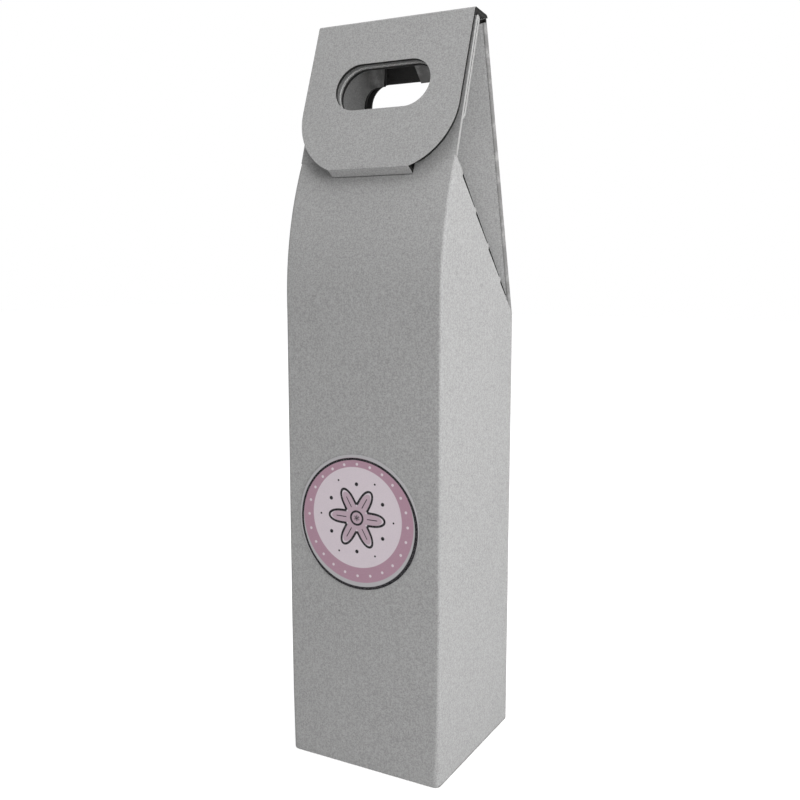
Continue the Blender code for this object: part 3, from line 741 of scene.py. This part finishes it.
def buildFrontLayer():
    half, corner = halfWidth - frontLayer["sideGap"], frontLayer["innerCorner"]
    edge = handle["spineFront"] + frontLayer["topDrop"] - frontCrease
    heading = math.atan2(edge.z, edge.y) + frontLayer["tilt"]
    radius = frontLayer["bendRadius"]
    rise = edge.length - radius
    middle = handle["spineFront"] + flapDown * handle["flapHoleDrop"] - frontCrease
    hole = middle.dot(wayAt(heading))
    over = rise + math.pi * radius
    start, end = board["creaseGap"], over + frontLayer["innerPly"]
    points = roundedShape(oblong(half, start, end), [0, 0, corner, corner])
    innerHole = over + rise - hole
    level = (handle["holeWidth"] - handle["holeHeight"]) / 2
    rim = handle["holeHeight"] / 2 + handle["holeAllowance"] + frontLayer["darkRim"]
    # the rim of the inner ply's hole is painted black as shade
    return boardPanel(points, 9.1, [handHole(hole), handHole(innerHole)], creasedAt(start),
                      cutsAlong=spread(rise, math.pi * radius, 12, 0, 0),
                      crush=lambda x, z: 1 if math.hypot(max(abs(x) - level, 0), z - innerHole) < rim else 0,
                      wrap=foldedPath(frontCrease, heading, [rise, (-math.pi, radius), over], 1))


finishPiece("frontHandleLayer", buildFrontLayer(), "front_top", ["front_top_panel"], finish=litCutFinish)

rearLayer = {
    "beadRadius": 0.0019,  # its side edges turn forward, where the gussets begin
    "paleEdge": 0.0006,  # how far round the turn the paper stays unshaded; beyond it the bead is painted darker as shade
    "mitre": 0.001,
}


def wrapRearLayer(x, z, below):
    radius = rearLayer["beadRadius"]
    flat = halfWidth - radius
    turn = max(abs(x) - flat, 0) / radius
    reach = min(abs(x), flat) + (radius - below) * math.sin(turn)
    return Vector((math.copysign(reach, x), radius - (radius - below) * math.cos(turn), z))


def buildRearLayer():
    radius, start = rearLayer["beadRadius"], board["creaseGap"]
    flat = halfWidth - radius
    half = flat + quarter * radius
    top = backLength - spineTangent - start
    ends = creasedAt(start, top)
    turns = spread(flat, quarter * radius, 6, 0)
    # the bead past the pale edge is painted darker as shade
    return boardPanel(oblong(half, start, top), 5.3, [handHole(backHole)],
                      lambda x, z: abs(x) > half - near["edge"] or ends(x, z),
                      turns + [-place for place in turns], wrap=wrapRearLayer,
                      pull=mitred(start, thick * -backUp.y, rearLayer["mitre"]),
                      crush=lambda x, z: 1 if abs(x) > flat + rearLayer["paleEdge"] else 0)


finishPiece("rearHandleLayer", buildRearLayer(), "back_top", ["back_top_panel"], facing(backCrease, backUp))


def buildTopStrip():
    # strip over the top with the rounds of both folds
    half, radius = halfWidth, handle["foldRadius"]
    level = spineLength - spineTangent - flapTangent
    length = spineTurn * radius + level + flapTurn * radius
    rows = spread(0, spineTurn * radius, 7, 1, 0) + spread(length, -flapTurn * radius, 7, 1, 0)
    path = foldedPath(handle["spineRear"] - backUp * spineTangent, math.atan2(backUp.z, backUp.y),
                      [(spineTurn, radius), level, (flapTurn, radius)], -1)
    return boardPanel(oblong(half, 0, length), 7.7, (), lambda x, z: abs(x) < half - near["edge"],
                      cutsAlong=rows, wrap=path)


finishPiece("topStrip", buildTopStrip(), "spine", ["spine_strip"])

flap = {
    "straightShare": 0.606,  # length of its straight sides, as a share of its own
    "tabCuts": (0.0003, 0.0006),  # closer cuts this far from the tab, for its mitre
}


def buildFlap():
    # straight sides, then wide rounds down to the tab
    half, tabHalf = halfWidth, handle["tabHalf"]
    straight = flap["straightShare"] * flapLength
    fall, inset = flapLength - straight, half - tabHalf
    radius = (fall ** 2 + inset ** 2) / (2 * inset)
    start = flapTangent + board["creaseGap"]
    mesh = bmesh.new()
    tops, ends, corners = [], [], []
    for side in (1, -1):
        vert = mesh.verts.new((side * half, 0, straight))
        spun = bmesh.ops.spin(mesh, geom=[vert], cent=(side * (half - radius), 0, straight), axis=(0, -side, 0),
                              angle=math.asin(fall / radius), steps=20)
        ends += [item for item in spun["geom_last"] if isinstance(item, bmesh.types.BMVert)]
        tops.append(vert)
        corners.append(mesh.verts.new((side * half, 0, start)))
    for pair in ((corners[0], tops[0]), (corners[1], tops[1]), tuple(corners), tuple(ends)):
        mesh.edges.new(pair)
    bmesh.ops.triangle_fill(mesh, use_beauty=True, use_dissolve=False, edges=mesh.edges[:])
    bmesh.ops.dissolve_limit(mesh, angle_limit=near["angle"], verts=mesh.verts[:], edges=mesh.edges[:])
    punch(mesh, handHole(handle["flapHoleDrop"], 0))
    return boardPanel(faceFront(mesh), 1.9, (), creasedAt(start, flapLength),
                      cutsAlong=[flapLength - far for far in flap["tabCuts"]],
                      pull=mitred(flapLength, -tabMitre))


finishPiece("closureFlap", buildFlap(), "flap", ["closure_flap"], facing(handle["spineFront"], flapDown))

tab = {
    "length": 0.0125,
    "straight": 0.0070,
    "tipHalf": 0.01925,
    "corner": 0.002,
}


def buildTab():
    half, tip, start, corner = handle["tabHalf"], tab["tipHalf"], board["creaseGap"], tab["corner"]
    points = roundedShape([(-half, start), (half, start), (half, tab["straight"]), (tip, tab["length"]),
                           (-tip, tab["length"]), (-half, tab["straight"])], [0, 0] + [corner] * 4)
    return boardPanel(points, 2.9, (), creasedAt(start), pull=mitred(start, tabMitre))


finishPiece("tuckTab", buildTab(), "tab", ["tuck_tab"], facing(handle["tabCrease"], tabAlong))

# The gussets, folded in between the sides and the rear layer
gusset = {
    "foldAngle": math.radians(15.15),
    "trim": math.radians(1.6),
    "upperSwing": math.radians(73.017),
    "lowerSwing": math.radians(32.843),
    "inset": 0.0022,  # from the rear face to the line that the upper half turns about
    "foldGap": 0.0032,
    "rootWidth": 0.0010,
    "reachShare": 0.965,
    "headroom": 0.0030,
    "fall": 0.0085,
    "upperTip": 0.0012,  # radii of the tips
    "lowerTip": 0.002,
    "holeReach": 0.0010,  # how far it stands into the hand hole
    "paintedShade": 0.85,  # painted shade on its inner part, by the hand hole
    "shadeStart": 0.018,
    "shadeRamp": 0.006,
    "shadeHeight": 0.085,
    "shadeRise": 0.010,
    "overhang": 0.0006,
    "lowerInset": 0.0003,
    "peakCut": 0.0045,
}
# Outer paper where the gussets begin: gaps at both ends, reach past both sides of the bend, how much painted
# shade it carries
foldPaper = {
    "back": (0.0015, 0, 0.00027, 0, 0.7),
    "diagonal": (0.0045, 0.004, 0.00002, 0.00027, 0.2),
}
diagonalAngle = math.atan2(-diagonal.y, diagonal.z)
apex = gusset["inset"] / math.sin(diagonalAngle - backLean)
hingeSide = halfWidth - thick
gussetRoot = apex * math.cos(diagonalAngle - backLean)
gussetStart = gussetRoot + gusset["rootWidth"] / math.tan(gusset["foldAngle"])
gussetTop = backLength - gusset["headroom"]


def buildUpperGusset(side):
    inset = gusset["inset"]
    crest = gussetTop - gusset["fall"]
    tip = inset + (crest - gussetRoot) * math.tan(gusset["foldAngle"]) + gusset["overhang"]
    points = roundedShape([(inset, gussetStart), (inset + gusset["rootWidth"], gussetStart), (tip, crest),
                           (inset, gussetTop)], [0, 0, gusset["upperTip"], 0])
    radius = handle["holeHeight"] / 2 + handle["holeAllowance"]
    left = halfWidth - handle["holeWidth"] / 2 + gusset["holeReach"]
    right, rounded = left + halfWidth, radius * handle["holeRound"]
    low, high = backHole - radius, backHole + radius
    notch = roundedShape([(left, low), (right, low), (right, high), (left, high)], [rounded, 0, 0, rounded], 12)

    # painted shade on the inner part by the hand hole
    def paintedShade(x, z):
        inwards = min(max((x - gusset["shadeStart"]) / gusset["shadeRamp"], 0), 1)
        upwards = min(max((z - gusset["shadeHeight"]) / gusset["shadeRise"], 0), 1)
        return gusset["paintedShade"] * inwards * upwards

    mesh = boardPanel(points, 11.3 + side, [notch], lambda x, z: x < inset + near["edge"], crush=paintedShade)
    hinge = (Matrix.Translation(backCrease) @ Matrix.Rotation(backLean, 4, "X")
             @ Matrix.Translation((side * hingeSide, -inset, 0))
             @ Matrix.Rotation(-side * gusset["upperSwing"], 4, "Z"))
    return mesh, hinge @ facing((side * thick, inset, 0), (0, 0, 1), (side, 0, 0), (0, -1, 0))


def buildLowerGusset(side):
    wedge = diagonalAngle - gusset["foldAngle"] - gusset["trim"]
    way = Vector((math.sin(wedge), math.cos(wedge)))
    foot = Vector((0, apex)) + gusset["foldGap"] * Vector((-way.y, way.x))
    inset = gusset["lowerInset"]
    start = foot + way * (inset + gusset["rootWidth"] - foot.x) / way.x
    tip = foot + way * (gusset["reachShare"] * diagonalLength)
    points = roundedShape([(inset, start.y), (inset, diagonalLength - 2 * gusset["peakCut"]), tuple(tip),
                           tuple(start)], [0, 0, gusset["lowerTip"], 0])
    mesh = boardPanel(points, 15.1 + side, (), lambda x, z: x < inset + near["edge"], flutes=diagonalAngle)
    hinge = (Matrix.Translation(backCrease + Vector((side * hingeSide, 0, 0)))
             @ Matrix.Rotation(diagonalAngle, 4, "X") @ Matrix.Rotation(side * gusset["lowerSwing"], 4, "Z"))
    return mesh, hinge @ facing((side * thick, 0, 0), (0, 0, 1), (side, 0, 0), (0, 1, 0))


def creaseSkin(name, bodies, side, pivot, along, sweep, angle, spans, lead, trail, crush):
    # outer paper that bends round a crease between two bodies
    radius = thick
    outward = Vector((side, 0, 0))
    onwards = sweep * math.cos(angle) - outward * math.sin(angle)
    width = lead + radius * angle + trail

    def wrap(x, z, below):
        turn = min(max(x - lead, 0) / radius, angle)
        spot = outward * ((radius - below) * math.cos(turn)) + sweep * ((radius - below) * math.sin(turn))
        return pivot + along * z + spot + sweep * min(x - lead, 0) + onwards * max(x - lead - radius * angle, 0)

    mesh = bmesh.new()
    for low, high in spans:
        corners = (0, low), (width, low), (width, high), (0, high)
        mesh.faces.new([mesh.verts.new((x, 0, z)) for x, z in corners])
    for mark in marks:
        mesh.verts.layers.float.new(mark)
    for place in spread(0, width, 8):
        sliceAcross(mesh, (place, 0, 0), (1, 0, 0))
    low, length = spans[0][0], spans[-1][1] - spans[0][0]
    for place in spread(low, length, int(length / board["cell"]) + 1):
        sliceAcross(mesh, (0, 0, place), (0, 0, 1))
    # the skin carries the given share of painted shade
    formSheet(mesh, 0, wrap, buckle=0, thickness=board["skin"], crush=lambda x, z: crush)
    start = pivot + outward * radius
    end = pivot + outward * radius * math.cos(angle) + sweep * radius * math.sin(angle)
    finishPiece(name, mesh, bodies[0], (), bend=(bodies[1], start, end), slot=bodies[1])


for side, word in ((1, "right"), (-1, "left")):
    mesh, lay = buildUpperGusset(side)
    finishPiece(word + "UpperGusset", mesh, word + "_upper_gusset", lay=lay)
    mesh, lay = buildLowerGusset(side)
    finishPiece(word + "LowerGusset", mesh, word + "_lower_gusset", lay=lay)
    corner = backCrease + Vector((side * hingeSide, 0, 0))
    inward = -away(backUp)
    low, high, *edges = foldPaper["back"]
    creaseSkin(word + "BackFold", ("back_top", word + "_upper_gusset"), side, corner + inward * gusset["inset"],
               backUp, inward, gusset["upperSwing"], [(low, gussetTop - high)], *edges)
    low, high, *edges = foldPaper["diagonal"]
    creaseSkin(word + "DiagonalFold", ("carton", word + "_lower_gusset"), side, corner, diagonal, offDiagonal,
               gusset["lowerSwing"], bridges(low, diagonalLength - high), *edges)


def buildBottom():
    half = halfWidth - tube["rearRadius"] - bottom["sideGap"]
    radius = bottom["foldRadius"]
    run = tube["back"] - tube["front"] - thick - bottom["tongueClearance"] - radius
    turn = quarter + bottom["tongueLean"]
    level = run - radius * math.tan(turn / 2)
    length = quarter * radius + level + turn * radius
    rows = spread(0, quarter * radius, 6, 1, 0) + spread(length, -turn * radius, 6, 1, 0)
    path = foldedPath(Vector((0, tube["back"], radius)), -quarter,
                      [(-quarter, radius), level, (-turn, radius)], 1)
    mesh = boardPanel(oblong(half, 0, length), 21.7, (), lambda x, z: abs(x) < half - near["edge"],
                      cutsAlong=rows, wrap=path, buckle=bottom["buckle"])
    root = path(0, length, 0)
    return mesh, root, path(0, length, -1) - root


mesh, tongueRoot, tongueOut = buildBottom()
finishPiece("bottomFlap", mesh, "bottom", ["bottom_flap"])


def buildTongue():
    half = halfWidth - tube["rearRadius"] - 2 * bottom["sideGap"]
    start, length, corner = board["creaseGap"], bottom["tongueLength"], bottom["tongueCorner"]
    points = roundedShape(oblong(half, start, length), [0, 0, corner, corner])
    return boardPanel(points, 23.9, (), creasedAt(start))


finishPiece("bottomTongue", buildTongue(), "tongue", ["bottom_tongue"],
            facing(tongueRoot, (0, tongueOut.z, -tongueOut.y), tongueOut))


def buildDustFlap(side):
    rise = thick + bottom["sideGap"]
    hinge = halfWidth - thick - bottom["sideGap"]
    front = tube["front"] + thick + bottom["dustFrontMargin"]
    back = glueFace - thick - bottom["dustBackMargin"]
    length = hinge - bottom["dustGap"] / 2
    points = roundedShape([(front, 0), (back, 0), (back - length, length), (front, length)],
                          [0, 0, bottom["dustBackCorner"], bottom["dustCorner"]])
    mesh = boardPanel(points, 27.1 + side, (), creasedAt(0), buckle=bottom["dustBuckle"])
    return mesh, facing((side * hinge, 0, rise), (-side, 0, 0), (0, 0, -1), (0, 1, 0))


for side, word in ((1, "right"), (-1, "left")):
    mesh, lay = buildDustFlap(side)
    finishPiece(word + "DustFlap", mesh, word + "_dust_flap", lay=lay)

# Round paper label on the front
label = {
    "radius": 0.0335,
    "thickness": 0.00022,
    "standOff": 0.00025,  # from the front wall to its outer face
    "edgeRings": (0.0001, 0.0006, 0.002),
    "height": 0.127,
    "offset": -0.002,
    "inkRing": 0.960,  # the rest are shares of its radius
    "band": 0.925,
    "disc": 0.745,
    "rosette": 0.34,
    "petal": 0.125,
    "wobble": 0.014,
    "edgeSoftness": 0.005,
    "rosetteCentre": (-0.015, 0.065),  # each layer is printed a little off the middle
    "discCentre": (-0.015, 0.070),
    "bandCentre": (-0.006, 0.030),
    "inkCentre": (0.004, -0.026),
    "bandColour": (0.420, 0.255, 0.325, 1),
    "discColour": (0.680, 0.600, 0.650, 1),
    "blush": (0.450, 0.315, 0.380, 1),
    "ink": (0.005, 0.004, 0.006, 1),
    "rim": (0.46, 0.45, 0.465, 1),
}


def makeLabelFinish():
    # printed rosette in a ring of dots, with a hand-inked edge
    look = Finish("satinLabelPaper", Roughness=0.75, Specular_IOR_Level=0.15)

    def polar(right, up):
        # distance and angle from a centre, in shares of the radius
        spot = look.place(Location=(-label["offset"] - right * label["radius"], 0,
                                    -label["height"] - up * label["radius"]))
        x, z = (look.node("ShaderNodeSeparateXYZ", {}, [spot], axis) for axis in "XZ")
        return look.maths("SQRT", x * x + z * z) * (1 / label["radius"]), look.maths("ARCTAN2", z, x)

    def dots(distance, angle, ring, count, size):
        # a ring of round dots
        turn = look.maths("WRAP", angle, math.pi / count, -math.pi / count)
        x = distance * look.maths("COSINE", turn) - ring
        z = distance * look.maths("SINE", turn)
        return 1 - look.step(look.maths("SQRT", x * x + z * z), size * 0.8, size * 1.1)

    edge, turn = polar(*label["rosetteCentre"])
    disc, _ = polar(*label["discCentre"])
    bandEdge, bandTurn = polar(*label["bandCentre"])
    rimEdge, rimTurn = polar(*label["inkCentre"])
    soft = label["edgeSoftness"]
    wobble = (look.grain(45, 2) - 0.5) * label["wobble"]
    line = look.most(look.maths("COSINE", rimTurn + 0.9), 0) * 0.013 + 0.019
    ink = 1 - look.step(abs(rimEdge + wobble - label["inkRing"]) / line, 0.75, 1.1)
    colour = look.mix(look.step(bandEdge, label["band"] - soft, label["band"] + soft), label["bandColour"],
                      label["rim"])
    colour = look.mix(dots(bandEdge, bandTurn, 0.83, 24, 0.022), colour, label["discColour"])
    colour = look.mix(1 - look.step(disc, label["disc"] - soft, label["disc"] + soft), colour,
                      label["discColour"])
    # six-petalled rosette
    petals = look.maths("COSINE", turn * 6) * label["petal"] + label["rosette"]
    slope = look.maths("SINE", turn * 6) * (6 * label["petal"]) / edge
    off = abs(edge + wobble - petals) / look.maths("SQRT", slope * slope + 1)
    colour = look.mix((1 - look.step(edge - petals, -0.05, -0.04)) * 0.8, colour, label["blush"])
    # a vein in each petal, and all that is inked
    vein = abs(look.maths("SINE", turn * 3) * edge + wobble)
    vein = (1 - look.step(vein, 0.014, 0.026)) * look.step(edge, 0.17, 0.18)
    vein = vein * (1 - look.step(edge, 0.34, 0.35))
    outlines = 1 - look.step(off, 0.014, 0.021)
    heart = 1 - look.step(abs(edge + wobble - 0.10), 0.012, 0.019)
    dotted = dots(edge, turn + math.pi / 6, 0.50, 6, 0.030), dots(edge, turn, 0.61, 6, 0.016)
    colour = look.mix(look.most(outlines, heart, vein, ink, *dotted), colour, label["ink"])
    fibre = look.grain(1500, 2)
    colour = look.mix(look.step(fibre, 0.4, 0.65) * 0.12, colour, label["rim"])
    return look.feed(Base_Color=colour, Normal=look.bump(fibre, 0.00002, 0.4))


def buildLabel():
    mesh = bmesh.new()
    bmesh.ops.create_circle(mesh, cap_ends=True, radius=label["radius"], segments=128,
                            matrix=Matrix.Rotation(quarter, 4, "X"))
    face = mesh.faces[:]
    for width in label["edgeRings"]:
        bmesh.ops.inset_region(mesh, faces=face, thickness=width, use_even_offset=True, use_boundary=True)
    for place in spread(0, label["radius"], 8, -7):
        sliceAcross(mesh, (place, 0, 0), (1, 0, 0))
        sliceAcross(mesh, (0, 0, place), (0, 0, 1))
    bmesh.ops.translate(mesh, verts=secondLayer(mesh), vec=(0, label["thickness"], 0))
    return mesh


finishPiece("roundLabel", buildLabel(), "carton", ["round_label"], finish=makeLabelFinish(),
            lay=Matrix.Translation((label["offset"], tube["front"] - label["standOff"], label["height"])))
print("pieces made")

studio = {
    "worldLight": 0.325,
    "keyWatts": 9.8,
    "topWatts": 5.2,
    "keyPlace": (0.9, -0.25, 0.55),
    "topPlace": (0, -0.25, 1.3),
    "floorLift": 0.75,
    "nearShare": 0.8,  # of that lift near the box, so that its shadow stays
    "liftFrom": 0.4,  # distances between which the lift grows to full
    "liftTo": 1.2,
    "cameraPlace": (0.235, -0.430, 0.2515),
    "cameraDown": math.radians(8.09),
    "cameraTurn": math.radians(28.87),
    "lens": 43.29,
}


def makeFloor():
    mesh = bmesh.new()
    bmesh.ops.create_grid(mesh, x_segments=8, y_segments=8, size=4)
    floor = addObject("studioFloor", mesh)
    look = Finish("paleFloor", Roughness=0.9, Base_Color=(0.88, 0.88, 0.88, 1),
                  Emission_Strength=studio["floorLift"])
    distance = look.node("ShaderNodeVectorMath", {"operation": "LENGTH"}, [look.place()], "Value")
    growth = look.step(distance, studio["liftFrom"], studio["liftTo"])
    lift = look.whiteRays() * (growth * (1 - studio["nearShare"]) + studio["nearShare"])
    floor.data.materials.append(look.feed(Emission_Color=look.mix(lift, (0, 0, 0, 1), (1, 1, 1, 1))))


def makeWorld():
    world = bpy.data.worlds.new("studioWorld")
    bpy.context.scene.world = world
    world.use_nodes = True
    world.node_tree.nodes.clear()
    sky = Nodes(world.node_tree)
    light, white = (sky.node("ShaderNodeBackground", {}, {"Color": (1, 1, 1, 1), "Strength": strength})
                    for strength in (studio["worldLight"], 1))
    both = sky.node("ShaderNodeMixShader", {}, [sky.whiteRays(), light, white])
    sky.node("ShaderNodeOutputWorld", {}, {"Surface": both})


def addSoftbox(name, place, aim, size, watts):
    lamp = bpy.data.lights.new(name, "AREA")
    lamp.shape = "RECTANGLE"
    lamp.size, lamp.size_y = size
    lamp.energy = watts
    holder = addObject(name, lamp)
    holder.location = place
    holder.rotation_euler = (Vector(aim) - Vector(place)).to_track_quat("-Z", "Y").to_euler()


def addCamera():
    lens = bpy.data.cameras.new("photoCamera")
    lens.lens = studio["lens"]
    lens.sensor_width = 36
    lens.clip_start = 0.01
    camera = addObject("photoCamera", lens)
    camera.location = studio["cameraPlace"]
    camera.rotation_euler = (quarter - studio["cameraDown"], 0, studio["cameraTurn"])
    bpy.context.scene.camera = camera


makeFloor()
makeWorld()
addSoftbox("keySoftbox", studio["keyPlace"], (0, 0, 0.2), (0.8, 0.9), studio["keyWatts"])
addSoftbox("topSoftbox", studio["topPlace"], (0, 0, 0.3), (0.7, 0.7), studio["topWatts"])
addCamera()
bpy.context.scene.view_settings.view_transform = "Standard"
print("studio ready")
